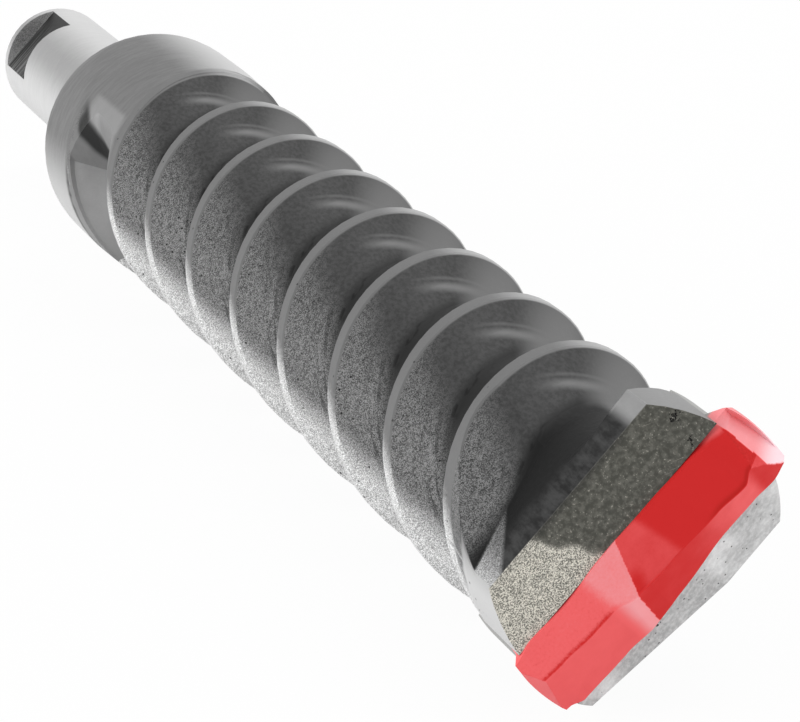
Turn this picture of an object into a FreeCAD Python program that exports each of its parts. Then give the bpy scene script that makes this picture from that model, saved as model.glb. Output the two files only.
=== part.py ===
import FreeCAD, Part
import math
import os
import Sketcher

# A masonry drill bit with two cutting edges, for a hammer drill: a steel body with a twin
# right-hand helix, and a hard metal plate brazed across its head.
# Each piece is drawn upright. Z runs along the bit from the end of the shank to the tip, X runs
# along the plate and Y across it. The placement at the end lays the bit on its side, as it rests.

# Driving sizes, in millimetres and degrees
SIZES = [
    ("cutting_diameter", 20.4, "over the ends of the plate, for a hole of 20"),
    ("land_diameter", 18.2, "over the lands of the helix"),
    ("shank_diameter", 10.0, "the shank that the machine holds"),
    ("shank_length", 29.5, "shank end to the foot of the collar's shoulder"),
    ("shank_chamfer", 0.7, "bevel round the end of the shank"),
    ("shank_hollow", 2.4, "hollow round between shank and shoulder"),
    ("notch_length", 6.5, "each milled notch, along the shank"),
    ("notch_depth", 1.25, "each milled notch, down from the round"),
    ("notch_setback", 1.6, "shank end to the notch"),
    ("shoulder_length", 3.6, "sloping shoulder, along the bit"),
    ("shoulder_round", 4.5, "round between shoulder and collar"),
    ("collar_diameter", 19.0, "the plain collar behind the helix"),
    ("collar_length", 12.0, "foot of the shoulder to the collar's front edge"),
    ("taper_length", 11.0, "easing down from the collar to the lands"),
    ("body_length", 147.0, "shank end to the crown of the steel"),
    ("head_diameter", 18.8, "the round of the head, a little over the lands"),
    ("head_height", 6.0, "crown back to where the head has its full round"),
    ("head_flare", 3.0, "easing out from the lands to the head, along the bit"),
    ("head_length", 12.3, "crown back to the foot of the last slope, on the open side"),
    ("flute_turns", 3.9, "turns of each flute at full depth, back from the open side"),
    ("flute_lead", 23.48, "one turn of the helix, along the bit"),
    ("flute_depth", 2.9, "land to flute floor"),
    ("land_width", 1.2, "flat band on top of a land, along the bit"),
    ("slope_length", 4.2, "side of a land that faces the tip, along the bit"),
    ("back_length", 1.0, "side of a land that faces the shank, along the bit"),
    ("floor_round", 1.8, "hollow rounds at the flute floor"),
    ("run_out_angle", 58.0, "how steeply the flutes leave the steel at the collar"),
    ("run_out_length", 2.2, "run-out of the flutes, along the bit"),
    ("gullet_rise", 27.0, "floor of the open gullets at the head, up from level"),
    ("gullet_sink", 0.15, "gullets cut deeper than the flutes they open"),
    ("roof_angle", 27.0, "ground faces of the head, down from level"),
    ("worn_start", 4.0, "start of the head's worn corner, from the axis along the plate"),
    ("worn_end", 8.8, "its end at the rim, from the axis along the plate, the other way"),
    ("worn_depth", 2.4, "its depth at that end, in from the gullet's wall"),
    ("worn_slant", 10.0, "its slant, out from the bit's axis on the way to the shank"),
    ("plate_thickness", 5.2, "the hard metal plate"),
    ("plate_depth", 7.5, "slot floor to the plate's side edges"),
    ("plate_proud", 0.3, "side edges of the plate above the steel"),
    ("plate_rim", 1.0, "full width of the plate, down from its side edges"),
    ("plate_relief", 1.2, "from full width down to the steel's own round"),
    ("ridge_height", 1.05, "cutting ridges above the side edges"),
    ("ridge_offset", 0.65, "cutting ridges off the plate's middle"),
    ("chisel_start", -0.8, "end of the upper ridge, along the plate"),
    ("chisel_end", -3.2, "end of the lower ridge, along the plate"),
    ("upper_bevel_width", 1.6, "bevel on the plate's upper end, along the plate"),
    ("upper_bevel_drop", 2.1, "bevel on the plate's upper end, along the bit"),
    ("lower_bevel_width", 0.5, "bevel on the plate's lower end, along the plate"),
    ("lower_bevel_drop", 0.7, "bevel on the plate's lower end, along the bit"),
    ("resting_lean", 46.8, "lean of the plate from level, as the bit lies"),
]
OVER = 4.0  # how far a cutter reaches past the steel
LIP_OUT = 1.4  # the flute cutters' lips past the lands, outwards
LIP_REAR = 0.6  # and along the bit, on the side of the shank
LIP_FRONT = 0.2  # and on the side of the tip
SAME_POINT = 1e-6

doc = FreeCAD.newDocument("masonry_drill_bit")
sheet = doc.addObject("Spreadsheet::Sheet", "sizes")
for row, (alias, number, meaning) in enumerate(SIZES, start=1):
    sheet.set(f"A{row}", meaning)
    sheet.set(f"B{row}", str(number))
    sheet.setAlias(f"B{row}", alias)
doc.recompute()


class Length:
    """A number together with the text that binds it to the sheet."""

    def __init__(self, text, number):
        self.text = text
        self.number = number

    def combined(self, other, sign, number):
        return Length(f"({self.text} {sign} {as_length(other).text})", number)

    def __add__(self, other):
        return self.combined(other, "+", self.number + as_length(other).number)

    def __sub__(self, other):
        return self.combined(other, "-", self.number - as_length(other).number)

    def __mul__(self, other):
        return self.combined(other, "*", self.number * as_length(other).number)

    def __truediv__(self, other):
        return self.combined(other, "/", self.number / as_length(other).number)

    def __neg__(self):
        return self * -1


def as_length(item):
    """A plain number as a Length, or the Length itself."""
    return item if isinstance(item, Length) else Length(str(item), item)


def size(alias):
    """A driving size from the sheet."""
    return Length(f"sizes.{alias}", float(sheet.get(alias)))


def tangent(alias):
    """The tangent of a driving angle."""
    return Length(f"tan(sizes.{alias} * 1deg)", math.tan(math.radians(size(alias).number)))


# Lengths that follow from the driving sizes
SHANK_RADIUS = size("shank_diameter") / 2
COLLAR_RADIUS = size("collar_diameter") / 2
COLLAR_FRONT = size("shank_length") + size("collar_length")
LAND_RADIUS = size("land_diameter") / 2
CORE_RADIUS = LAND_RADIUS - size("flute_depth")
HEAD_RADIUS = size("head_diameter") / 2
HEAD_RIM = size("body_length") - size("head_height")
FLUTE_LENGTH = size("flute_turns") * size("flute_lead")
FLUTE_END = size("body_length") - size("head_length")
FLUTE_START = FLUTE_END - FLUTE_LENGTH
FLUTE_WIDTH = size("flute_lead") / 2 - size("land_width")
HALF_PLATE = size("plate_thickness") / 2
PLATE_EDGE = size("body_length") + size("plate_proud")
SLOT_FLOOR = PLATE_EDGE - size("plate_depth")
CUTTING_RADIUS = size("cutting_diameter") / 2
RIDGE = PLATE_EDGE + size("ridge_height")
RELIEF_TOP = PLATE_EDGE - size("plate_rim")
OVER_TOP = size("body_length") + OVER


def datum(body, role):
    """The body's own origin plane or axis of that role."""
    return next(item for item in body.Origin.OriginFeatures if item.Role == role)


def outline(body, name, plane, corners):
    """A closed sketch through corners, each a name, x, y and a rounding radius or None."""
    sketch = body.newObject("Sketcher::SketchObject", name)
    sketch.AttachmentSupport = [(datum(body, plane), "")]
    sketch.MapMode = "FlatFace"
    corners = [(label, as_length(x), as_length(y), radius) for label, x, y, radius in corners]
    points = [FreeCAD.Vector(x.number, y.number, 0) for _, x, y, _ in corners]
    count = len(corners)
    starts, ends, arcs = list(points), list(points), {}
    for i, (_, _, _, radius) in enumerate(corners):
        if radius is None:
            continue
        here = points[i]
        back = (points[i - 1] - here).normalize()
        ahead = (points[(i + 1) % count] - here).normalize()
        half = back.getAngle(ahead) / 2
        reach = radius.number / math.tan(half)
        inward = (back + ahead).normalize()
        ends[i] = here + back * reach
        starts[i] = here + ahead * reach
        nearest = here + inward * (radius.number / math.sin(half) - radius.number)
        arcs[i] = Part.Arc(ends[i], nearest, starts[i])
    sides = []
    for i in range(count):
        line = Part.LineSegment(starts[i], ends[(i + 1) % count])
        sides.append(sketch.addGeometry(line, False))
    for i, (label, x, y, radius) in enumerate(corners):
        before, after = sides[i - 1], sides[i]
        if radius is None:
            sketch.addConstraint(Sketcher.Constraint("Coincident", before, 2, after, 1))
            pin(sketch, after, label, x, y)
            continue
        arc = sketch.addGeometry(arcs[i], False)
        near = sketch.getPoint(arc, 1).distanceToPoint(ends[i]) < SAME_POINT
        first, last = (1, 2) if near else (2, 1)
        sketch.addConstraint(Sketcher.Constraint("Tangent", before, 2, arc, first))
        sketch.addConstraint(Sketcher.Constraint("Tangent", after, 1, arc, last))
        bound = sketch.addConstraint(Sketcher.Constraint("Radius", arc, radius.number))
        sketch.renameConstraint(bound, f"{label}_round")
        sketch.setExpression(f"Constraints.{label}_round", radius.text)
        corner = sketch.addGeometry(Part.Point(points[i]), True)
        sketch.addConstraint(Sketcher.Constraint("PointOnObject", corner, 1, before))
        sketch.addConstraint(Sketcher.Constraint("PointOnObject", corner, 1, after))
        pin(sketch, corner, label, x, y)
    return sketch


def pin(sketch, item, label, x, y):
    """Bind the first point of an item of the sketch to two lengths."""
    for kind, axis, where in (("DistanceX", -2, x), ("DistanceY", -1, y)):
        if where.number == 0:
            sketch.addConstraint(Sketcher.Constraint("PointOnObject", item, 1, axis))
            continue
        bound = sketch.addConstraint(Sketcher.Constraint(kind, -1, 1, item, 1, where.number))
        sketch.renameConstraint(bound, f"{label}_{kind[-1].lower()}")
        sketch.setExpression(f"Constraints.{label}_{kind[-1].lower()}", where.text)


def turned(body, name, sketch, kind="PartDesign::Revolution"):
    """Turn an outline once round the bit's axis."""
    feature = body.newObject(kind, name)
    feature.Profile = sketch
    feature.ReferenceAxis = (sketch, ["V_Axis"])
    feature.Angle = 360
    doc.recompute()


def milled(body, name, sketch, direction=None):
    """Cut an outline right across the bit, both ways, square or along a direction."""
    pocket = body.newObject("PartDesign::Pocket", name)
    pocket.Profile = sketch
    pocket.SideType = "Symmetric"
    pocket.setExpression("Length", (CUTTING_RADIUS * 4 + OVER).text)
    if direction is not None:
        pocket.UseCustomVector = True
        pocket.AlongSketchNormal = False
        pocket.Direction = direction
    doc.recompute()
    return pocket


def both_sides(body, name, feature):
    """Repeat a cut half a turn round the axis."""
    pattern = body.newObject("PartDesign::PolarPattern", name)
    pattern.Originals = [feature]
    pattern.Axis = (datum(body, "Z_Axis"), [""])
    pattern.Angle = 360
    pattern.Occurrences = 2
    body.Tip = pattern
    doc.recompute()


def wound(body, name, sketch, length):
    """Wind a flute's section round the axis, up from the sketch."""
    cut = body.newObject("PartDesign::SubtractiveHelix", name)
    cut.Profile = sketch
    cut.ReferenceAxis = (sketch, ["V_Axis"])
    cut.Mode = "pitch-height-angle"
    cut.setExpression("Pitch", size("flute_lead").text)
    cut.setExpression("Height", length.text)
    return cut


# The drill body: shank, collar and a plain cylinder, turned in one
drill = doc.addObject("PartDesign::Body", "drill_body")
drill.Label = "drill_body"
blank_outline = outline(drill, "blank_outline", "XZ_Plane", [
    ("axis_foot", 0, 0, None),
    ("end_face", SHANK_RADIUS - size("shank_chamfer"), 0, None),
    ("chamfer", SHANK_RADIUS, size("shank_chamfer"), None),
    ("shoulder_foot", SHANK_RADIUS, size("shank_length"), size("shank_hollow")),
    ("shoulder_top", COLLAR_RADIUS, size("shank_length") + size("shoulder_length"),
     size("shoulder_round")),
    ("collar_front", COLLAR_RADIUS, COLLAR_FRONT, None),
    ("land_foot", LAND_RADIUS, COLLAR_FRONT + size("taper_length"), None),
    ("head_foot", LAND_RADIUS, HEAD_RIM - size("head_flare"), None),
    ("head_rim", HEAD_RADIUS, HEAD_RIM, None),
    ("head_top", HEAD_RADIUS, size("body_length"), None),
    ("axis_top", 0, size("body_length"), None),
])
turned(drill, "blank", blank_outline)

# Two notches milled across the shank near its end
NOTCH_FLOOR = SHANK_RADIUS - size("notch_depth")
NOTCH_END = size("notch_setback") + size("notch_length")
notch_outline = outline(drill, "notch_outline", "YZ_Plane", [
    ("floor_low", NOTCH_FLOOR, size("notch_setback"), None),
    ("out_low", SHANK_RADIUS + OVER, size("notch_setback"), None),
    ("out_high", SHANK_RADIUS + OVER, NOTCH_END, None),
    ("floor_high", NOTCH_FLOOR, NOTCH_END, None),
])
both_sides(drill, "notches", milled(drill, "notch", notch_outline))

# The open gullets at the head, whose floors carry on from the flutes' slopes
GULLET_WALL = CORE_RADIUS - size("gullet_sink")
GULLET_OUT = LAND_RADIUS + size("flute_depth")
GULLET_FLOOR = FLUTE_END - size("gullet_sink")
rise = math.radians(size("gullet_rise").number)
for side, name in ((1, "gullet_a"), (-1, "gullet_b")):
    gullet_outline = outline(drill, f"{name}_outline", "YZ_Plane", [
        ("wall_foot", GULLET_WALL * side, GULLET_FLOOR + size("slope_length"),
         size("floor_round")),
        ("floor_out", GULLET_OUT * side, GULLET_FLOOR - size("slope_length"), None),
        ("top_out", GULLET_OUT * side, OVER_TOP, None),
        ("top_in", GULLET_WALL * side, OVER_TOP, None),
    ])
    milled(drill, name, gullet_outline,
           FreeCAD.Vector(-side * math.cos(rise), 0, math.sin(rise)))

# The two ground faces of the head, sloping down from the plate
EAVE = HEAD_RADIUS + OVER
roof_outline = outline(drill, "roof_outline", "YZ_Plane", [
    ("crown", HALF_PLATE, size("body_length"), None),
    ("eave", EAVE, size("body_length") - (EAVE - HALF_PLATE) * tangent("roof_angle"), None),
    ("over_eave", EAVE, OVER_TOP, None),
    ("over_crown", HALF_PLATE, OVER_TOP, None),
])
both_sides(drill, "ground_faces", milled(drill, "ground_face", roof_outline))

# One corner of the head has worn away, down the wall of its gullet
worn_outline = outline(drill, "worn_outline", "XY_Plane", [
    ("start", size("worn_start"), -GULLET_WALL, None),
    ("rim", -size("worn_end"), size("worn_depth") - GULLET_WALL, None),
    ("rim_out", -EAVE, size("worn_depth") - GULLET_WALL, None),
    ("far_out", -EAVE, -EAVE, None),
    ("start_out", size("worn_start"), -EAVE, None),
])
worn_outline.setExpression(".AttachmentOffset.Base.z", size("body_length").text)
slant = math.radians(size("worn_slant").number)
milled(drill, "worn_corner", worn_outline,
       FreeCAD.Vector(0, -math.sin(slant), -math.cos(slant)))

# The slot that the plate is brazed into
slot_outline = outline(drill, "slot_outline", "YZ_Plane", [
    ("floor_left", -HALF_PLATE, SLOT_FLOOR, None),
    ("floor_right", HALF_PLATE, SLOT_FLOOR, None),
    ("top_right", HALF_PLATE, OVER_TOP, None),
    ("top_left", -HALF_PLATE, OVER_TOP, None),
])
milled(drill, "slot", slot_outline)

# Two flutes wound round the body, each with its steep run-out into the collar
turn_back = FreeCAD.Rotation(FreeCAD.Vector(0, 1, 0), -360 * size("flute_turns").number)
for side, name in ((1, "flute_a"), (-1, "flute_b")):
    section = outline(drill, f"{name}_outline", "YZ_Plane", [
        ("foot_out", (LAND_RADIUS + LIP_OUT) * side, FLUTE_START - LIP_REAR, None),
        ("foot", LAND_RADIUS * side, FLUTE_START, None),
        ("floor_low", CORE_RADIUS * side, FLUTE_START + size("slope_length"),
         size("floor_round")),
        ("floor_high", CORE_RADIUS * side, FLUTE_START + FLUTE_WIDTH - size("back_length"),
         size("floor_round")),
        ("crest", LAND_RADIUS * side, FLUTE_START + FLUTE_WIDTH, None),
        ("crest_out", (LAND_RADIUS + LIP_OUT) * side, FLUTE_START + FLUTE_WIDTH + LIP_FRONT,
         None),
    ])
    section.AttachmentOffset = FreeCAD.Placement(FreeCAD.Vector(), turn_back)
    wound(drill, name, section, FLUTE_LENGTH)
    doc.recompute()
    run_out = wound(drill, f"{name}_run_out", section, size("run_out_length"))
    run_out.Reversed = True
    run_out.setExpression("Angle", size("run_out_angle").text)
    doc.recompute()

# The hard metal plate: a bar with a cutting ridge off its middle, to one side at each end
plate = doc.addObject("PartDesign::Body", "carbide_plate")
plate.Label = "carbide_plate"


def bar(name, side, stop, length, reverse):
    """Pad the plate's section along X from a stop, with its ridge to one side."""
    section = outline(plate, f"{name}_outline", "YZ_Plane", [
        ("foot_left", -HALF_PLATE, SLOT_FLOOR, None),
        ("foot_right", HALF_PLATE, SLOT_FLOOR, None),
        ("edge_right", HALF_PLATE, PLATE_EDGE, None),
        ("ridge", size("ridge_offset") * side, RIDGE, None),
        ("edge_left", -HALF_PLATE, PLATE_EDGE, None),
    ])
    section.setExpression(".AttachmentOffset.Base.z", stop.text)
    pad = plate.newObject("PartDesign::Pad", name)
    pad.Profile = section
    pad.Reversed = reverse
    pad.setExpression("Length", length.text)
    doc.recompute()
    return section


upper = bar("upper_half", -1, size("chisel_start"), CUTTING_RADIUS - size("chisel_start"), False)
lower = bar("lower_half", 1, size("chisel_end"), CUTTING_RADIUS + size("chisel_end"), True)
chisel = plate.newObject("PartDesign::AdditiveLoft", "chisel")
chisel.Profile = upper
chisel.Sections = [lower]
chisel.Ruled = True
doc.recompute()

# The bevels at the plate's two ends
for name, side in (("upper_bevel", 1), ("lower_bevel", -1)):
    width, drop = size(f"{name}_width"), size(f"{name}_drop")
    bevel_outline = outline(plate, f"{name}_outline", "XZ_Plane", [
        ("inner", (CUTTING_RADIUS - width * 2) * side, RIDGE + drop, None),
        ("outer", (CUTTING_RADIUS + width) * side, RIDGE - drop * 2, None),
        ("over", (CUTTING_RADIUS + width) * side, RIDGE + drop, None),
    ])
    milled(plate, name, bevel_outline)

# The plate's ends are ground round with the bit, and relieved to the steel below the tip
rim_outline = outline(plate, "rim_outline", "XZ_Plane", [
    ("rim_low", CUTTING_RADIUS, RELIEF_TOP, None),
    ("relief_low", HEAD_RADIUS, RELIEF_TOP - size("plate_relief"), None),
    ("low_in", HEAD_RADIUS, SLOT_FLOOR - OVER, None),
    ("low_out", CUTTING_RADIUS + OVER, SLOT_FLOOR - OVER, None),
    ("high_out", CUTTING_RADIUS + OVER, RIDGE + OVER, None),
    ("high_in", CUTTING_RADIUS, RIDGE + OVER, None),
])
turned(plate, "rim", rim_outline, "PartDesign::Groove")

# Lay the bit on its side: the tip to +X, and the plate leaning from level
lean = FreeCAD.Rotation(FreeCAD.Vector(0, 0, 1), size("resting_lean").number)
lie_down = FreeCAD.Rotation(FreeCAD.Vector(0, 1, 0), 90)
level = FreeCAD.Rotation(FreeCAD.Vector(1, 0, 0), 90)
middle = FreeCAD.Vector(-RIDGE.number / 2, 0, COLLAR_RADIUS.number)
for body in (drill, plate):
    body.Placement = FreeCAD.Placement(middle, level * lie_down * lean)
doc.recompute()

# Check that every step worked and took steel away where it should, then write the pieces
CUTS = ("PartDesign::Pocket", "PartDesign::Groove", "PartDesign::SubtractiveHelix",
        "PartDesign::PolarPattern")
for item in doc.Objects:
    if "Invalid" in item.State or "Error" in item.State:
        raise RuntimeError(f"{item.Label} failed: {item.State}")
    if not item.TypeId.startswith("PartDesign::") or item.TypeId == "PartDesign::Body":
        continue
    if not item.Shape.isValid():
        raise RuntimeError(f"{item.Label} gives a broken shape")
    if item.TypeId in CUTS and item.Shape.Volume >= item.BaseFeature.Shape.Volume:
        raise RuntimeError(f"{item.Label} cuts nothing")
os.makedirs("parts", exist_ok=True)
for body in (drill, plate):
    if len(body.Shape.Solids) != 1:
        raise RuntimeError(f"{body.Label} is not one solid")
    body.Shape.exportStep(f"parts/{body.Label}.step")
    print(body.Label, round(body.Shape.Volume, 2), body.Shape.BoundBox)
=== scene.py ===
"""Looks of the masonry drill bit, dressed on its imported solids."""

import math

import bpy
from bpy.props import FloatProperty, FloatVectorProperty, IntProperty, PointerProperty
from mathutils import Matrix, Vector, noise


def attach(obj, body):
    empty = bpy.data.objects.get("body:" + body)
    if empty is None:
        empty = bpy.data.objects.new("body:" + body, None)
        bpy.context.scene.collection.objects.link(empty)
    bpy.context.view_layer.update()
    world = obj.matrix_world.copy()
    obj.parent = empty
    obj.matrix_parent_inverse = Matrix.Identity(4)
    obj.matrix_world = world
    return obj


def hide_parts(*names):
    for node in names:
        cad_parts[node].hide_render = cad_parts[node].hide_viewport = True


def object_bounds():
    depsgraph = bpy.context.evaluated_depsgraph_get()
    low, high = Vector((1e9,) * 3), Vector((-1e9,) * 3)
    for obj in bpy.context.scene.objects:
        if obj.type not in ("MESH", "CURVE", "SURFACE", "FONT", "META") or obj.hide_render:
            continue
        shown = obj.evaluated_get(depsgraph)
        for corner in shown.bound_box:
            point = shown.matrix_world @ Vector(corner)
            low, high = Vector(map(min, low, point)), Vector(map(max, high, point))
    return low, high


bl_info = {
    "name": "Masonry drill bit",
    "version": (1, 0, 0),
    "blender": (4, 5, 0),
    "location": "3D View > Sidebar > Drill bit",
    "description": "Builds the steel, the hard metal plate and the studio of a masonry drill bit",
    "category": "Add Mesh",
}

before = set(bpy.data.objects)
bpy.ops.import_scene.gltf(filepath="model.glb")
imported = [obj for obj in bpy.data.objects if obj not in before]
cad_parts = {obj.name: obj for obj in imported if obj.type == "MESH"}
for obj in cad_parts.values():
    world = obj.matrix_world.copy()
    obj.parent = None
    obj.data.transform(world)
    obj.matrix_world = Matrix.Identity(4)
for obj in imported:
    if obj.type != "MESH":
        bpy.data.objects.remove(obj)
CAD_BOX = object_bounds()
MM = 0.001

# Places on the bit, in millimetres, upright: X along the plate, Y across it, Z to the tip
BIT_END = CAD_BOX[0].x / MM
AXIS_HEIGHT = CAD_BOX[1].z / 2 / MM
LEAN = math.radians(46.8)
LAND_EIGHT = 133.5  # rear edge of the last land, on the open side
LAND_STEP = 11.74
NOTCH_END = 1.6
WALL_OUT = 6.05  # the head's wall behind the ground faces
CROWN = 147.0  # top of the ground faces, beside the plate
EDGE = 147.3  # the plate's side edges
HALF_PLATE = 2.6
ROOF_TAN = math.tan(math.radians(27))

# Where one surface of the steel gives way to the next, each from a first place to a last one
SHANK_STARTS = (31.0, 28.8)
NOTCH_FRONT = (8.3, 8.15)
HELIX_STARTS = (46, 48)
HEAD_STARTS = (136, 138)
RIM_STARTS = (138, 139)
ROOF_STARTS = (143, 144)
SHANK_RADIUS = (4.97, 4.94)
LAND_RADIUS = (8.93, 9.04)
RIM_RADIUS = (9.25, 9.35)
COLLAR_RADIUS = (9.47, 9.43)
LAND_WIDTH = (0.16, 0.11)  # in steps of the helix
FIRST_LAND = (-6.96, -7.02)  # in flutes, counted back from the last land
# On the head's wall, the line beyond which the gullet takes its painted shade: a place along
# the plate, its height, and the fall of the line
GULLET_LINE = (-3.31, 140.7, 1.63)

# The top of the plate, as lines of places along and across it: its two edges and its ridge
LEFT_EDGE = ((-10.2, 2.45), (-8.0, 2.72), (-4.8, 2.42), (-1.6, 2.78), (3.0, 2.68), (6.0, 2.5),
             (7.8, 2.2), (9.0, 1.9), (10.4, 1.7))
RIDGE_LINE = ((-10.2, 0.88), (-7.5, 0.66), (-5.1, 0.38), (-3.4, 0.32), (-1.8, -0.28),
              (1.1, -0.4), (5.1, -0.65), (7.3, -0.93), (8.3, -0.4), (10.4, -0.5))
RIGHT_EDGE = ((-10.2, -2.1), (-8.7, -2.6), (-4.8, -2.75), (-2.2, -3.05), (0.0, -2.85),
              (4.5, -2.5), (7.1, -2.55), (8.8, -2.7), (10.4, -2.4))
RIDGE_HEIGHT = 1.05
# The plate's wall, as heights from its side edges, with the round of its upper and lower ends
WALL = ((-0.7, 10.45, 9.45), (-1.0, 10.3, 9.4), (-1.6, 9.85, 9.38), (-2.2, 9.4, 9.38),
        (-4.5, 9.38, 9.38), (-7.5, 9.38, 9.38))
TOP_ROUND = (10.55, 9.95)
BRAZE_LINE = (145.75, 145.35)
# Planes that cut the plate's ends: a place on each, and its rise along and across the plate
END_PLANES = {
    "corner": ((8.3, -0.35, 148.35), -0.727, -0.265),
    "bevel": ((8.96, 1.57, 147.45), -1.31, -0.278),
    "low bevel": ((-9.3, 0.0, 148.15), 1.4, 0.0),
}

# Nicks on the ground faces: place, turn, length and width
NICKS = (
    ((7.75, 4.6), 0.1, 0.55, 0.07),
    ((7.55, 4.35), -0.7, 0.35, 0.06),
    ((7.2, 3.05), 0.9, 0.45, 0.07),
    ((-2.5, -3.3), -0.15, 0.7, 0.08),
)

# The studio, in metres: the world's strength on the object, the share of plain white in the
# floor, which leaves the rest for a shadow, and the floor's size and place
DAYLIGHT = 0.70
FLOOR_GLOW = 0.96
FLOOR_WIDTH = 6
FLOOR_HEIGHT = -0.0001
# Soft lamps: name, place, width, and power in watts
LAMPS = (
    ("low left", (-0.22, -0.42, 0.03), 0.30, 1.2),
    ("left", (0.10, -0.60, 0.25), 0.35, 1.2),
    ("low right", (0.32, 0.36, 0.03), 0.25, 0.8),
    ("above", (-0.15, 0.25, 0.60), 0.5, 1.5),
)
LAMPS_AIM = (0, 0, 0.01)
# The photograph's side: where the camera stands, and how it is turned
EYE = (0.2811, -0.0852, 0.0895)
EYE_AZIMUTH = math.radians(71.5)
EYE_DOWN = math.radians(16.7)
LENS = 180
SENSOR_WIDTH = 36

# From the bit drawn upright to the bit lying on its side, in metres
LAY = Matrix((
    (0, 0, 1, BIT_END * MM),
    (math.cos(LEAN), -math.sin(LEAN), 0, 0),
    (math.sin(LEAN), math.cos(LEAN), 0, AXIS_HEIGHT * MM),
    (0, 0, 0, 1),
)) @ Matrix.Scale(MM, 4)


class Wire:
    """A node's output that takes part in sums."""

    def __init__(self, recipe, socket):
        self.recipe = recipe
        self.socket = socket

    def sum(self, operation, *others):
        return self.recipe.add(
            "ShaderNodeMath", {"operation": operation}, dict(enumerate((self, *others))))

    def __add__(self, other):
        return self.sum("ADD", other)

    def __sub__(self, other):
        return self.sum("SUBTRACT", other)

    def __rsub__(self, other):
        return self.recipe.add("ShaderNodeMath", {"operation": "SUBTRACT"}, {0: other, 1: self})

    def __mul__(self, other):
        return self.sum("MULTIPLY", other)

    def __truediv__(self, other):
        return self.sum("DIVIDE", other)

    def __mod__(self, other):
        return self.sum("FLOORED_MODULO", other)

    __radd__ = __add__
    __rmul__ = __mul__

    def size(self):
        return self.sum("ABSOLUTE")

    def rise(self, low, high):
        """From 0 at low to 1 at high, eased."""
        return self.recipe.add(
            "ShaderNodeMapRange", {"interpolation_type": "SMOOTHSTEP"},
            {"Value": self, "From Min": low, "From Max": high})

    def near(self, place, width):
        """1 at a place, falling to 0 a width away."""
        return 1 - (self - place).size().rise(0.0, width)


class Recipe:
    """The nodes of a new material, or of a new world."""

    def __init__(self, name, owners=None):
        self.material = (bpy.data.materials if owners is None else owners).new(name)
        self.material.use_nodes = True
        self.tree = self.material.node_tree
        self.shader = self.tree.nodes.get("Principled BSDF")

    def add(self, kind, settings, inputs, outputs=(0,)):
        """A node of a kind, with its settings and its inputs; gives a wire for each output."""
        node = self.tree.nodes.new(kind)
        for name, value in settings.items():
            setattr(node, name, value)
        self.feed(node, inputs)
        wires = [Wire(self, node.outputs[name]) for name in outputs]
        return wires if len(wires) > 1 else wires[0]

    def feed(self, node, inputs):
        for name, value in inputs.items():
            if isinstance(value, Wire):
                self.tree.links.new(value.socket, node.inputs[name])
            else:
                node.inputs[name].default_value = value

    def seen(self):
        """1 for the camera's own rays, and for those that metal and glass send on."""
        own, gloss, through = self.add(
            "ShaderNodeLightPath", {}, {},
            ("Is Camera Ray", "Is Glossy Ray", "Is Transmission Ray"))
        return (own + gloss + through).sum("MINIMUM", 1.0)

    def finish(self, **inputs):
        """Feed the shader's sockets, named with _ for a space."""
        self.feed(self.shader, {name.replace("_", " "): v for name, v in inputs.items()})
        return self.material

    def upright(self):
        """The bit's own X, Y and Z in millimetres, from Object coordinates."""
        place = self.add("ShaderNodeTexCoord", {}, {}, ("Object",))
        split = self.add("ShaderNodeSeparateXYZ", {}, {0: place}, (0, 1, 2))
        x, y, z = (metres * (1 / MM) for metres in split)
        z = z - AXIS_HEIGHT
        return (y * math.cos(LEAN) + z * math.sin(LEAN),
                z * math.cos(LEAN) - y * math.sin(LEAN), x - BIT_END)

    def point(self, x, y, z):
        return self.add("ShaderNodeCombineXYZ", {}, {0: x, 1: y, 2: z})

    def noise(self, where, scale, detail, rough):
        return self.add("ShaderNodeTexNoise", {}, {
            "Vector": where, "Scale": scale, "Detail": detail, "Roughness": rough})

    def cells(self, where, scale):
        return self.add("ShaderNodeTexVoronoi", {}, {"Vector": where, "Scale": scale})

    def blend(self, share, first, second):
        """Two colours mixed by a share."""
        first, second = (c if isinstance(c, Wire) else (*c, 1.0) for c in (first, second))
        return self.add("ShaderNodeMix", {"data_type": "RGBA"},
                        {0: share, 6: first, 7: second}, (2,))

    def carried(self, name):
        """A number that the mesh carries at each of its points."""
        return self.add("ShaderNodeAttribute", {"attribute_name": name}, {}, ("Fac",))

    def bump(self, height, depth):
        """A normal from a height, and from the depth in millimetres of a height of 1."""
        return self.add("ShaderNodeBump", {}, {
            "Height": height, "Distance": depth * MM, "Strength": 1.0})


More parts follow.
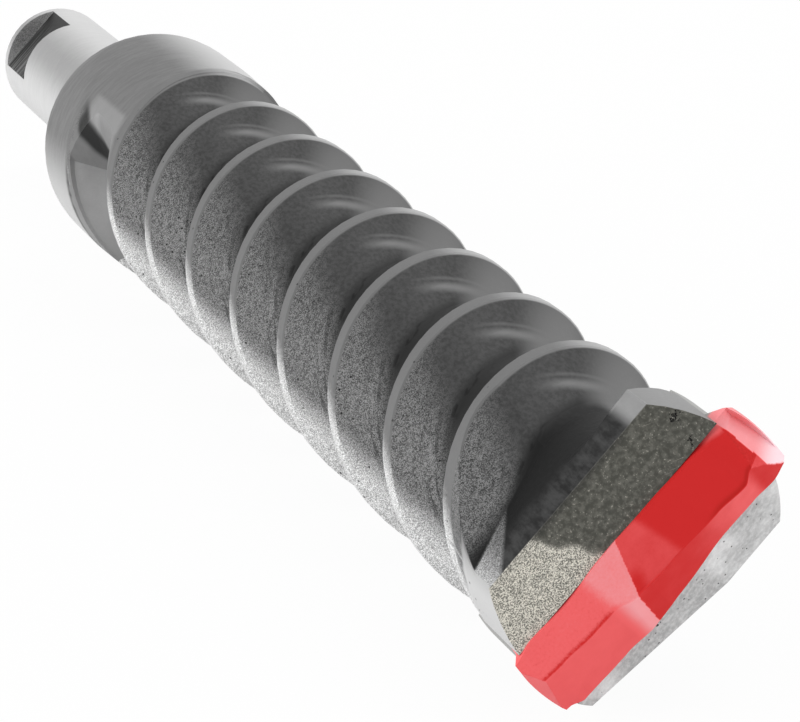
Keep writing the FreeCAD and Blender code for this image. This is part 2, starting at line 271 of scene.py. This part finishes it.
class BitPlaces:
    """Where a point lies on the bit, which surface it is on, and the noises that roughen it."""

    def __init__(self, make):
        x, y, z = self.x, self.y, self.z = make.upright()
        self.here = make.point(x, y, z)
        self.radius = (x * x + y * y).sum("SQRT")
        self.toward = x / self.radius  # 1 under the plate's upper end, -1 under its lower end
        self.out = y.size()
        self.along = x * y.sum("SIGN")
        # Flutes counted from the last land of each side, and the angle round the bit there
        lead = (z - LAND_EIGHT) / LAND_STEP
        half_turns = (0 - self.along).sum("ARCTAN2", self.out) * (1 / math.pi)
        self.reach = lead - half_turns
        self.angle = half_turns * -180
        self.step = (lead - (0 - x).sum("ARCTAN2", y) * (1 / math.pi)) % 1.0
        # Noises, from the finest blasted grain to broad mottling
        self.flecks = make.noise(self.here, 13.0, 2.0, 0.6)
        self.fine = make.noise(self.here, 8.0, 2.0, 0.6)
        self.grain = make.noise(self.here, 3.2, 3.0, 0.6)
        self.broad = make.noise(self.here, 0.25, 3.0, 0.5)
        self.speckle = (self.flecks * 0.75 + self.grain * 0.25).rise(0.38, 0.64)
        # Surfaces, as shares from 0 to 1
        self.fluted = z.rise(*HELIX_STARTS)
        self.wall = (self.out - WALL_OUT).size().rise(0.12, 0.04) * z.rise(*HEAD_STARTS)
        self.land = self.radius.rise(*LAND_RADIUS) * self.step.rise(*LAND_WIDTH)
        self.land = self.land * self.fluted * (1 - self.wall)
        self.rim = self.radius.rise(*RIM_RADIUS) * z.rise(*RIM_STARTS)
        roof_height = CROWN - (self.out - HALF_PLATE) * ROOF_TAN
        self.roof = (roof_height - z).size().rise(0.16, 0.04) * z.rise(*ROOF_STARTS)
        self.far_side = y.rise(0.5, -0.5)
        drift = (self.step - 0.15) * 1.1 + (self.broad - 0.5) * 0.3
        self.coarse = (self.toward + drift).rise(0.38, -0.22)


def helix_finish(make, at, colours):
    """Slopes coarse on the low side and smooth on the other, and lands that show wear; with
    painted highlight streaks, painted shade in the creases and painted light on the far side and
    on the lands.
    """
    smooth = make.blend(at.grain.rise(0.3, 0.7), colours.steel_dark, colours.steel_mid)
    rough = make.blend(at.speckle, colours.steel_dark, colours.steel_light)
    colour = make.blend(at.coarse, smooth, rough)
    drawn = make.noise(make.point(at.step * 26, at.radius * 2.5, at.angle * 0.045), 0.9, 3.0, 0.6)
    grooves = drawn.rise(0.56, 0.66) * at.coarse * at.step.near(0.31, 0.14)
    colour = make.blend(grooves * 0.45, colour, colours.steel_light)
    sunk = drawn.rise(0.44, 0.36) * at.coarse * at.step.near(0.34, 0.16)
    colour = make.blend(sunk * 0.6, colour, colours.steel_black_and_shade)
    # Painted highlight: a bright streak along each flute's slope, strongest toward the far side
    bowed = at.step - (at.toward - 0.64) * 0.25
    painted_streak = bowed.near(0.280, 0.045) + bowed.near(0.225, 0.018) * 0.4
    painted_streak = painted_streak * at.toward.rise(0.42, 0.80) * (0.55 + drawn * 0.7)
    colour = make.blend(painted_streak, colour, colours.steel_highlight)
    # Painted shade in the crease in front of each land
    crease_shade = at.step.rise(0.35, 0.44) * at.step.rise(1.0, 0.93) * (1 - at.wall)
    colour = make.blend(crease_shade * (1 - at.coarse * 0.35), colour, colours.steel_black_and_shade)
    # Painted light: the slopes grow lighter toward the far side
    far_side_light = (at.toward + at.step * 0.35).rise(0.87, 1.11)
    colour = make.blend(far_side_light, colour, colours.steel_side)
    colour = make.blend(at.land, colour, colours.steel_worn)
    # Painted highlight along the lands on the far side
    land_highlight = at.land * at.toward.rise(0.70, 1.02) * 0.7
    return make.blend(land_highlight, colour, colours.painted_light_grey)


def low_side_finish(make, at, colours, colour):
    """Painted light on the side that the bit lies on, with the blasted grain in it."""
    low_side_light = make.blend(at.speckle, colours.shank_dark, colours.steel_painted_light)
    low = at.toward + (at.step - 0.175) * 0.75 * (1 - at.wall)
    low = low + (at.grain - 0.5) * 0.2 - at.land * 0.12 - at.wall * 0.08
    return make.blend(low.rise(-0.69, -0.97), colour, low_side_light)


def collar_finish(make, at, colours, colour, turned):
    """The turned collar with painted light on its sides, and the run-out of the flutes into it
    with its painted shade and light.
    """
    plain = make.blend(turned.rise(0.3, 0.7), colours.collar_dark, colours.collar_light)
    # Painted light on both sides of the collar
    for sides in (at.toward.rise(0.60, 1.05), at.toward.rise(-0.45, -1.0)):
        plain = make.blend(sides, plain, colours.painted_light_grey)
    behind = at.reach.rise(*FIRST_LAND)
    before = behind * at.angle.rise(-14, -8)
    runout = behind * at.angle.rise(-8, -14) * at.radius.rise(*COLLAR_RADIUS)
    soft = make.blend(at.broad.rise(0.35, 0.65), colours.steel_side, colours.collar_dark)
    # Painted light on the low side of the run-out
    soft = make.blend(at.toward.rise(-0.5, -1.0) * 0.25, soft, colours.painted_light_grey)
    swept = at.angle + 11 + (at.z - 41.7) * 2.9
    shade = (swept + (at.broad - 0.5) * 3).near(1.5, 10.0).rise(0.0, 0.75)
    shade = shade * at.z.rise(41.0, 43.4) * (runout + before) * at.angle.rise(-42, -24)
    # Painted light in a wedge beside the run-out
    light_wedge = (swept - 1).rise(5.0, 8.5) * at.angle.rise(3, -1)
    light_wedge = light_wedge * at.z.rise(42, 44) * at.reach.rise(-7, -7.1)
    colour = make.blend(before.sum("MAXIMUM", at.z.rise(42.5, 41.5)), colour, plain)
    colour = make.blend(runout * at.z.rise(41, 42), colour, soft)
    colour = make.blend(light_wedge * 0.8, colour, colours.steel_light)
    return make.blend(shade, colour, colours.steel_black_and_shade)


def shank_finish(make, at, colours, colour, turned):
    """The turned shank, lighter on its sides with painted light, with tool marks on the floor of
    its notches.
    """
    # Painted light on the shank's sides, leaving its top darker
    paler = at.toward.size().rise(0.05, 0.85) * 0.9 + (turned - 0.5) * 0.25
    shank = make.blend(paler, colours.shank_dark, colours.shank)
    colour = make.blend(at.z.rise(*SHANK_STARTS), colour, shank)
    in_notch = at.z.rise(NOTCH_END - 0.1, NOTCH_END + 0.1) * at.z.rise(*NOTCH_FRONT)
    in_notch = in_notch * at.radius.rise(*SHANK_RADIUS)
    marks = make.noise(make.point(at.along * 0.1, 0, at.z * 4.5), 1.0, 2.0, 0.6)
    tooled = make.blend(marks.rise(0.48, 0.64), colours.steel_black_and_shade, colours.steel_side)
    tooled = make.blend(at.along.rise(0.5, 2.5), tooled, colours.steel_black_and_shade)
    # A speckled band of painted light on the notch's end
    end = (at.z - NOTCH_END).size().rise(0.1, 0.05)
    tooled = make.blend(end * at.speckle, tooled, colours.painted_light_grey)
    return make.blend(in_notch, colour, tooled)


def rim_finish(make, at, colours, colour):
    """The round of the head, with painted light at its low end and on the side toward the plate's
    upper end.
    """
    rim = make.blend(at.x.rise(-5.5, -8.0), colours.collar_light, colours.painted_light_grey)
    rim = make.blend(at.toward.rise(0.5, 0.9), rim, colours.steel_light)
    return make.blend(at.rim, colour, rim)


def gullet_finish(make, at, colours, colour, gullet_shade):
    """The gullets, dark with painted shade, and their walls behind the ground faces with a
    painted highlight strip.
    """
    patchy = make.noise(make.point(at.x * 1.2, at.y * 2, at.z * 0.35), 1.4, 3.0, 0.6)
    # Patches near the head's top where the painted shade lifts
    shade_lifted = patchy.rise(0.3, 0.7) * at.z.rise(141.5, 143.5)
    dark = make.blend(shade_lifted, colours.gullet, colours.steel_dark)
    colour = make.blend(gullet_shade, colour, dark)
    # Painted highlight on the wall's outer strip
    wall_highlight = at.wall * at.along.rise(5.2, 6.2)
    return make.blend(wall_highlight * (0.75 + patchy * 0.4), colour, colours.steel_light)


def gullet_shade_share(at):
    """How far a point lies in a gullet's painted shade, where the last flute ends and on the wall
    above it.
    """
    swirl = (at.reach + (at.broad - 0.5) * 0.05).rise(0.39, 0.47) * at.z.rise(133.5, 135.5)
    place, height, fall = GULLET_LINE
    past_line = at.z - height + (at.along - place) * fall
    on_wall = past_line.rise(-0.5, 0.4) * at.along.rise(6.0, 5.2)
    gullet_shade = swirl * (1 - at.wall) + at.wall * on_wall
    return gullet_shade * (1 - at.rim) * at.out.rise(0.8, 3.0)


def ground_finish(make, at, colours, colour):
    """The ground faces of the head: dull, lit at the low end, paler with painted light on the far
    side, and with painted shade under the wall.
    """
    scratch = make.point((at.x + at.y * 2.2) * 5, (at.y - at.x * 0.4) * 0.6, 0)
    scratch = make.noise(scratch, 1.0, 2.0, 0.5).rise(0.66, 0.74) * at.broad.rise(0.45, 0.6)
    sparkle = at.fine.rise(0.60, 0.70) * at.grain.rise(0.42, 0.6)
    dull = make.blend(at.grain.rise(0.35, 0.7), colours.ground_dark, colours.ground_mid)
    dull = make.blend(sparkle * 0.6 + scratch * 0.35, dull, colours.ground_light)
    glints = (at.flecks * 0.8 + at.grain * 0.2).rise(0.40, 0.60)
    bright = make.blend(glints, colours.ground_mid, colours.ground_pale)
    edge_wave = (make.noise(at.here, 0.45, 3.0, 0.6) - 0.5) * 1.6 + (at.grain - 0.5) * 0.8
    lit = (at.x + (at.y - HALF_PLATE) * 0.62 + edge_wave).rise(-0.9, -1.5)
    # Painted light: the far ground face is paler, mottled towards near-white
    far = make.blend(at.grain.rise(0.3, 0.75), colours.far_dark, colours.far_light)
    far = make.blend(at.broad.rise(0.4, 0.7) * 0.5, far, colours.steel_painted_light)
    ground = make.blend(at.far_side, make.blend(lit, dull, bright), far)
    # Painted shade on the ground face under the wall's edge
    eave_shade = at.out.rise(5.5, 6.15) * at.along.rise(5.8, 4.5) * at.y.rise(-0.5, 0.5)
    ground = make.blend(eave_shade * (1 - lit * 0.7) * 0.55, ground, colours.steel_black_and_shade)
    return make.blend(at.roof, colour, ground)


def nick_share(at):
    """The nicks on the ground faces: thin ovals with a ragged outline."""
    nicks = 0
    ragged = (at.grain - 0.5) * 1.6
    for (place_x, place_y), turn, length, width in NICKS:
        x, y = at.x - place_x, at.y - place_y
        lengthways = (x * math.cos(turn) + y * math.sin(turn)) / length
        across = (y * math.cos(turn) - x * math.sin(turn) + ragged) / width
        distance = lengthways * lengthways + across * across
        nicks = nicks + distance.rise(1.0, 0.6) * at.roof
    return nicks


def pit_share(make, at, gullet_shade):
    """Pits: fine and scattered on the coarse slopes and the far ground face, and the nicks."""
    pits = make.cells(at.here, 1.3).rise(0.13, 0.08) * at.broad.rise(0.48, 0.56) * at.coarse
    pits = pits * (1 - gullet_shade) * at.fluted * (1 - at.roof)
    far_pits = make.cells(at.here, 1.9).rise(0.14, 0.08) * at.roof * at.far_side
    return (pits + far_pits * 0.9 + nick_share(at)).sum("MINIMUM", 1.0)


def crease_shade_dashes(make, at):
    """Black dashes of painted shade in the creases."""
    middle = at.toward.rise(-0.35, 0.0) * at.toward.rise(0.75, 0.5)
    dashes = make.noise(make.point(at.step * 30, 0, at.angle * 0.12), 0.8, 2.0, 0.5)
    return at.step.near(0.42, 0.035) * middle * at.fluted * dashes.rise(0.5, 0.6)


def steel_material(colours):
    """Shot-blasted steel with light and shade painted in: lands that show wear, ground head
    faces, a turned collar and shank.
    """
    make = Recipe("blasted_steel")
    at = BitPlaces(make)
    turned = make.noise(make.point(at.x * 0.4, at.y * 0.4, at.z * 2.0), 1.3, 2.0, 0.5)
    gullet_shade = gullet_shade_share(at)
    colour = helix_finish(make, at, colours)
    colour = low_side_finish(make, at, colours, colour)
    colour = collar_finish(make, at, colours, colour, turned)
    colour = shank_finish(make, at, colours, colour, turned)
    colour = rim_finish(make, at, colours, colour)
    colour = gullet_finish(make, at, colours, colour, gullet_shade)
    colour = ground_finish(make, at, colours, colour)
    holes = pit_share(make, at, gullet_shade)
    # Black of the pits and nicks, and of the painted shade dashes in the creases
    black = (holes + crease_shade_dashes(make, at) * 0.85).sum("MINIMUM", 1.0)
    colour = make.blend(black, colour, colours.pit_and_crease_shade)
    gloss = 0.56 + (at.grain - 0.5) * 0.15 + at.coarse * 0.08 - at.z.rise(50, 30) * 0.04
    roughened = 0.2 + at.coarse * 0.6 + at.roof * 0.6
    relief = make.bump((at.fine * 0.35 + at.grain * 0.8) * roughened - holes * 1.2, 0.025)
    return make.finish(
        Base_Color=colour, Metallic=0.5, Roughness=gloss, Specular_IOR_Level=0.2, Normal=relief)


def carbide_material(colours):
    """Red coat over hard metal, lighter on some ground facets with painted light and shade, and
    grainy on others.
    """
    make = Recipe("red_hard_metal")
    x, y, z = make.upright()
    here = make.point(x, y, z)
    # The painted light and shade of each facet, carried by the mesh
    pale = make.carried("pale")
    grainy = make.carried("grainy")
    fine = make.noise(here, 6.0, 3.0, 0.65)
    soft = make.noise(here, 0.7, 3.0, 0.55)
    pale = pale + (soft - 0.5) * 0.08 + grainy * (fine - 0.5) * 0.30
    colour = make.blend(pale.rise(-0.2, 0.0), colours.carbide_dark, colours.carbide)
    colour = make.blend(pale.rise(0.0, 0.22), colour, colours.carbide_bright)
    colour = make.blend(pale.rise(0.2, 1.0), colour, colours.carbide_pale)
    specks = make.cells(here, 0.8).rise(0.06, 0.03) * soft.rise(0.5, 0.6)
    colour = make.blend(specks * 0.5, colour, colours.carbide_dark)
    braze = (z + (soft - 0.5) * 0.6).rise(*BRAZE_LINE)
    colour = make.blend(braze, colour, colours.braze)
    relief = make.bump(fine * (0.12 + grainy * 0.9) + soft * 0.4, 0.03)
    return make.finish(
        Base_Color=colour, Roughness=0.50 + grainy * 0.12, Normal=relief,
        Metallic=braze * 0.7, Specular_IOR_Level=0.15)


def paper_material(colours):
    """The pale floor, which looks white and still takes a shadow."""
    make = Recipe("pale_floor")
    material = make.finish(Base_Color=(*colours.floor, 1.0), Roughness=0.9)
    paper = Wire(make, make.shader.outputs[0])
    glow = make.add("ShaderNodeEmission", {}, {})
    both = make.add("ShaderNodeMixShader", {}, {0: make.seen() * FLOOR_GLOW, 1: paper, 2: glow})
    make.feed(make.tree.nodes["Material Output"], {"Surface": both})
    return material


class BitSizes(bpy.types.PropertyGroup):
    """How finely the plate is modelled, and how wavy it is"""

    columns: IntProperty(
        name="Columns", description="Strips of the plate's top, along it", default=300, min=20)
    rows: IntProperty(
        name="Rows", description="Strips of the plate's top, across it", default=76, min=8)
    waver: FloatProperty(
        name="Waver", description="How far the plate's coat wavers, in millimetres",
        default=0.05, min=0, max=0.3)


def tint(label, red, green, blue):
    """A colour that the user may change."""
    return FloatVectorProperty(
        name=label, description=f"Colour of the {label.lower()}", subtype="COLOR", size=3,
        default=(red, green, blue), min=0, max=1)


class BitColours(bpy.types.PropertyGroup):
    """Colours of the steel, the hard metal and the floor"""

    # Near black: dark tool marks, the darker side of the notch floors, and painted shade in the
    # creases, the run-out and under the wall's edge
    steel_black_and_shade: tint("Steel in the creases", 0.018, 0.018, 0.018)
    steel_dark: tint("Steel in its hollows", 0.040, 0.040, 0.040)
    steel_mid: tint("Smooth steel", 0.065, 0.065, 0.065)
    # Also the painted light of the run-out wedge, the rim's side and the wall's highlight strip
    steel_light: tint("Steel on its grain", 0.26, 0.26, 0.26)
    # Colour of the painted highlight streaks in the flutes
    steel_highlight: tint("Streaks in the flutes", 0.19, 0.19, 0.19)
    # Mid grey of the notch's tool marks and of the run-out, and the painted light on the far side
    # of the slopes
    steel_side: tint("Steel of the far side", 0.17, 0.17, 0.17)
    steel_worn: tint("Worn lands", 0.15, 0.15, 0.15)
    # Near-white painted light on the low side, also in the far ground face's mottling
    steel_painted_light: tint("Clean steel on the low side", 0.96, 0.96, 0.96)
    # Near-black painted shade in the gullets
    gullet: tint("Gullets", 0.004, 0.004, 0.004)
    collar_dark: tint("Collar", 0.14, 0.14, 0.14)
    collar_light: tint("Collar where turned bright", 0.17, 0.17, 0.17)
    # Pale grey of painted light: the collar's sides, the lands' highlight, the run-out's low
    # side, the rim's low end and the notch's end
    painted_light_grey: tint("Collar on the low side", 0.58, 0.58, 0.58)
    # The shank's darker top and its painted-light sides; the darker tone is also the dark grain
    # of the low side
    shank_dark: tint("Shank on its top", 0.31, 0.31, 0.31)
    shank: tint("Shank on its sides", 0.62, 0.62, 0.62)
    ground_dark: tint("Ground faces", 0.068, 0.068, 0.058)
    ground_mid: tint("Grain of the ground faces", 0.135, 0.133, 0.116)
    ground_light: tint("Sparkle of the ground faces", 0.50, 0.48, 0.42)
    ground_pale: tint("Ground steel in the light", 0.74, 0.71, 0.63)
    # The far ground face, paler with painted light
    far_dark: tint("Far ground face", 0.38, 0.38, 0.38)
    far_light: tint("Grain of the far ground face", 0.58, 0.58, 0.58)
    # Black of the pits, and of the painted shade dashes in the creases
    pit_and_crease_shade: tint("Pits", 0.006, 0.006, 0.006)
    # Tones of the red coat that paint light and shade on the plate's facets; the darkest also
    # colours its specks
    carbide_dark: tint("Hard metal coat in its corners", 0.48, 0.010, 0.008)
    carbide: tint("Hard metal coat", 0.61, 0.018, 0.018)
    carbide_bright: tint("Hard metal coat where bright", 0.88, 0.125, 0.130)
    carbide_pale: tint("Hard metal coat where pale", 0.97, 0.74, 0.79)
    braze: tint("Braze", 0.35, 0.35, 0.34)
    floor: tint("Floor", 0.8, 0.8, 0.8)


class DRILLBIT_OT_steel(bpy.types.Operator):
    """Give the turned and milled steel body its blasted finish"""

    bl_idname = "drillbit.steel"
    bl_label = "Steel body"

    def execute(self, context):
        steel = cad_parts["drill_body"]
        material = steel_material(context.scene.drillbit_colours)
        for slot in steel.material_slots:
            slot.material = material
        return {"FINISHED"}


def ease(low, high, value):
    """From 0 at low to 1 at high, eased."""
    share = min(max((value - low) / (high - low), 0.0), 1.0)
    return share * share * (3 - 2 * share)


def follow(line, place):
    """Where a wavy line of the plate lies, at a place along the plate."""
    for (x0, y0), (x1, y1) in zip(line, line[1:]):
        if place <= x1:
            return y0 + (y1 - y0) * ease(x0, x1, place)
    return line[-1][1]


class DRILLBIT_OT_plate(bpy.types.Operator):
    """Grind the hard metal plate's facets on a bar, and let its coat waver"""

    bl_idname = "drillbit.plate"
    bl_label = "Hard metal plate"

    # Sizes in millimetres, and how far the ground top lies below its plain ridge
    LENGTH = 20.8
    ENDS_FROM = 8.0
    VALLEY_DEPTH = 0.17
    LOW_FLANK_DEPTH = 0.07
    UPPER_FLANK_DEPTH = 0.05
    STEP_DEPTH = 0.12

    def execute(self, context):
        sizes = context.scene.drillbit_sizes
        bpy.ops.object.select_all(action="DESELECT")
        bpy.ops.mesh.primitive_grid_add(
            x_subdivisions=sizes.columns, y_subdivisions=sizes.rows, size=2)
        plate = context.object
        plate.name = plate.data.name = "carbide_tip"
        bpy.ops.object.mode_set(mode="EDIT")
        bpy.ops.mesh.select_all(action="SELECT")
        for _ in WALL:
            bpy.ops.mesh.extrude_region_move(TRANSFORM_OT_translate={"value": (0, 0, -1)})
        bpy.ops.object.mode_set(mode="OBJECT")
        self.grind(plate.data, sizes.waver)
        bpy.ops.object.mode_set(mode="EDIT")
        bpy.ops.mesh.select_all(action="SELECT")
        bpy.ops.mesh.normals_make_consistent(inside=False)
        bpy.ops.object.mode_set(mode="OBJECT")
        plate.matrix_world = LAY
        bpy.ops.object.transform_apply(location=True, rotation=True, scale=True)
        bpy.ops.object.shade_smooth_by_angle(angle=math.radians(14))
        plate.data.materials.append(carbide_material(context.scene.drillbit_colours))
        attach(plate, "root")
        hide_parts("carbide_plate")
        return {"FINISHED"}

    def grind(self, mesh, waver):
        """Put each point of the bar in its place, and note its painted light and shade and how
        grainy it is.
        """
        pale = mesh.attributes.new("pale", "FLOAT", "POINT")
        grainy = mesh.attributes.new("grainy", "FLOAT", "POINT")
        for point in mesh.vertices:
            level = round(-point.co.z)
            x, share = point.co.x * self.LENGTH / 2, point.co.y
            wave = noise.noise(Vector((x * 0.9, share * 2.2, level))) * waver
            if level == 0:
                left, ridge, right = (
                    follow(line, x) for line in (LEFT_EDGE, RIDGE_LINE, RIGHT_EDGE))
                y = ridge + ((left - ridge) if share > 0 else (ridge - right)) * share
                x = self.rounded(x, y, TOP_ROUND)
                facet, z = self.top(x, y, share)
                tone = self.tone(facet, x, y, share)
                z += wave * 0.5
            else:
                y = share * HALF_PLATE
                drop, *rounds = WALL[level - 1]
                x = self.rounded(x, y, rounds)
                z = EDGE + drop
                tone = (self.wall_tone(x, y), 0.25)
            point.co = (x, y, z)
            pale.data[point.index].value, grainy.data[point.index].value = tone

    def wall_tone(self, x, y):
        """How pale the coat is below the edges of the top, with painted light towards the plate's
        ends.
        """
        upper = ease(7.0, 8.6, x)
        return (0.05 + upper * (0.40 + 0.40 * ease(1.4, -1.6, y))
                + 0.31 * ease(-7.5, -8.5, x))

    def rounded(self, x, y, rounds):
        """Bring the plate's ends in to the round of the bit."""
        share = max(abs(x) - self.ENDS_FROM, 0) / (self.LENGTH / 2 - self.ENDS_FROM)
        end = math.sqrt(rounds[0 if x > 0 else 1] ** 2 - y * y)
        return math.copysign(self.ENDS_FROM + share * (end - self.ENDS_FROM), x) if share else x

    def valley(self, y):
        """Where the left flank is ground lowest, along the plate."""
        return 0.5 * y - 1.58

    def soft_line(self, y):
        """Where the left flank is level again past the valley."""
        return 1.9 - 0.16 * y

    def step_line(self, y):
        """Where the right flank is stepped."""
        return 0.11 * y - 1.74

    def top(self, x, y, share):
        """The facet at a place of the ground top, and its height there."""
        z = EDGE + RIDGE_HEIGHT * (1 - abs(share))
        if share > 0:
            past = x - self.valley(y)
            width = self.soft_line(y) - self.valley(y)
            z -= self.VALLEY_DEPTH * max(0, 1 - past / width if past > 0 else 1 + past / 1.5)
            z -= self.LOW_FLANK_DEPTH * ease(0.0, 0.05, share) * ease(-1.0, -3.5, x)
            z -= self.UPPER_FLANK_DEPTH * ease(0.0, 0.05, share) * ease(4.0, 7.0, x)
        else:
            past = x - self.step_line(y)
            z -= self.STEP_DEPTH * max(0, 1 - past / 1.1 if past > 0 else 1 + past / 0.7)
        facets = {"flank": z}
        for name, ((place_x, place_y, height), along, across) in END_PLANES.items():
            facets[name] = height + along * (x - place_x) + across * (y - place_y)
        facet = min(facets, key=facets.get)
        return facet, facets[facet]

    def tone(self, facet, x, y, share):
        """How pale the coat is with the painted light and shade of each facet, and how grainy it
        is.
        """
        if facet == "bevel":
            return 0.50 + 0.40 * ease(0.0, -2.2, y), 0.25
        if facet == "low bevel":
            return 0.34, 0.2
        if facet == "corner":
            return (-0.08, 0.9) if share > 0 else (0.10, 0.2)
        if share > 0:
            shade = 0.20 * ease(0.17, 0.0, share) * (ease(-2.4, -3.6, x) + ease(3.5, 5.5, x))
            if x > self.valley(y):
                lift = 0.10 * ease(self.soft_line(y) + 0.5, self.soft_line(y) - 0.3, x)
                # Painted shade in the corner beside the valley
                corner = 0.12 * ease(1.3, 0.1, y) * ease(self.valley(y) + 1.3, self.valley(y), x)
                return lift - corner - shade, 0.1
            near = ease(-3.9, -2.8, x)
            return 0.22 + 0.22 * near - shade, 0.9 - 0.5 * near
        if x > self.step_line(y):
            return 0.03 + 0.12 * ease(2.0, 6.5, x) * ease(8.4, 7.4, x), 0.05
        glare = ease(-3.7, -2.5, x)
        return 0.18 + 0.33 * glare, 0.05


class DRILLBIT_OT_stage(bpy.types.Operator):
    """Lay the floor, hang the lamps and set the camera"""

    bl_idname = "drillbit.stage"
    bl_label = "Stage"

    def execute(self, context):
        bpy.ops.object.select_all(action="DESELECT")
        bpy.ops.mesh.primitive_plane_add(size=FLOOR_WIDTH, location=(0, 0, FLOOR_HEIGHT))
        floor = context.object
        floor.name = "floor"
        floor.data.materials.append(paper_material(context.scene.drillbit_colours))
        self.camera(context)
        for name, place, size, power in LAMPS:
            bpy.ops.object.light_add(type="AREA", location=place)
            lamp = context.object
            lamp.name = name
            lamp.data.size = size
            lamp.data.energy = power
            aim = Vector(LAMPS_AIM) - Vector(place)
            lamp.rotation_euler = aim.to_track_quat("-Z", "Y").to_euler()
        studio = Recipe("studio", bpy.data.worlds)
        context.scene.world = studio.material
        strength = DAYLIGHT + studio.seen() * (1 - DAYLIGHT)
        studio.feed(studio.tree.nodes["Background"],
                    {"Color": (1, 1, 1, 1), "Strength": strength})
        context.scene.view_settings.view_transform = "Standard"
        return {"FINISHED"}

    def camera(self, context):
        """A camera with a long lens, at the photograph's viewing angle."""
        ahead = Vector((-math.sin(EYE_AZIMUTH) * math.cos(EYE_DOWN),
                        math.cos(EYE_AZIMUTH) * math.cos(EYE_DOWN), -math.sin(EYE_DOWN)))
        bpy.ops.object.camera_add(
            location=EYE, rotation=ahead.to_track_quat("-Z", "Y").to_euler())
        camera = context.object
        camera.data.lens = LENS
        camera.data.sensor_width = SENSOR_WIDTH
        camera.data.clip_start = 0.01
        context.scene.camera = camera


class DRILLBIT_PT_panel(bpy.types.Panel):
    """The drill bit's builders and their settings"""

    bl_label = "Drill bit"
    bl_idname = "DRILLBIT_PT_panel"
    bl_space_type = "VIEW_3D"
    bl_region_type = "UI"
    bl_category = "Drill bit"

    def draw(self, context):
        for operator in OPERATORS:
            self.layout.operator(operator.bl_idname)
        for group in (context.scene.drillbit_sizes, context.scene.drillbit_colours):
            for name in group.__annotations__:
                self.layout.prop(group, name)


OPERATORS = (DRILLBIT_OT_steel, DRILLBIT_OT_plate, DRILLBIT_OT_stage)
CLASSES = (BitSizes, BitColours, *OPERATORS, DRILLBIT_PT_panel)


def register():
    for item in CLASSES:
        bpy.utils.register_class(item)
    bpy.types.Scene.drillbit_sizes = PointerProperty(type=BitSizes)
    bpy.types.Scene.drillbit_colours = PointerProperty(type=BitColours)


def unregister():
    del bpy.types.Scene.drillbit_colours
    del bpy.types.Scene.drillbit_sizes
    for item in reversed(CLASSES):
        bpy.utils.unregister_class(item)


def main():
    register()
    bpy.ops.drillbit.steel()
    bpy.ops.drillbit.plate()
    bpy.ops.drillbit.stage()


if __name__ == "__main__":
    main()
